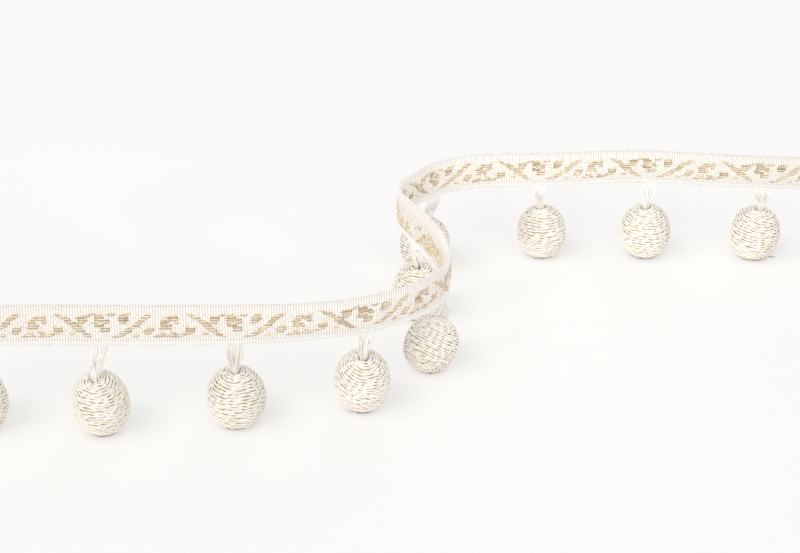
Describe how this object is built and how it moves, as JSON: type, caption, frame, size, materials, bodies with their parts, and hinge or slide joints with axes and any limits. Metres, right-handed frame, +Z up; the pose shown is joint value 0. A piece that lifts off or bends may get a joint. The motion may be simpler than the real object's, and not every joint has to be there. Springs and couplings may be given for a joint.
{
  "type": "pompom fringe trim",
  "caption": "Figured woven tape that stands in a loose S, with cord-wound ball pompoms hung under its lower edge on short bundles of thread.",
  "frame": {"origin": "the middle of the plan, on the ground that the balls rest on", "axes": "+X along the trim's long side, +Y to the back, away from the straight run of tape whose figured face looks to -Y, +Z up"},
  "size_m": [0.3216, 0.1541, 0.0455],
  "materials": {
    "tape": "off-white ribbed rayon tape with pale gold raised floats, soft sheen",
    "ball_cord": "cream two-ply rayon cord, wound in level turns, soft lustre",
    "stem_thread": "fine cream rayon threads"
  },
  "bodies": {
    "root": {"tape": "tape", "ball_01": "ball_cord", "ball_02": "ball_cord", "ball_03": "ball_cord", "ball_04": "ball_cord", "ball_05": "ball_cord", "ball_06": "ball_cord", "ball_07": "ball_cord", "ball_08": "ball_cord", "ball_09": "ball_cord", "ball_10": "ball_cord", "stem_01": "stem_thread", "stem_02": "stem_thread", "stem_03": "stem_thread", "stem_04": "stem_thread", "stem_05": "stem_thread", "stem_06": "stem_thread", "stem_07": "stem_thread", "stem_08": "stem_thread", "stem_09": "stem_thread", "stem_10": "stem_thread"}
  },
  "joints": []
}
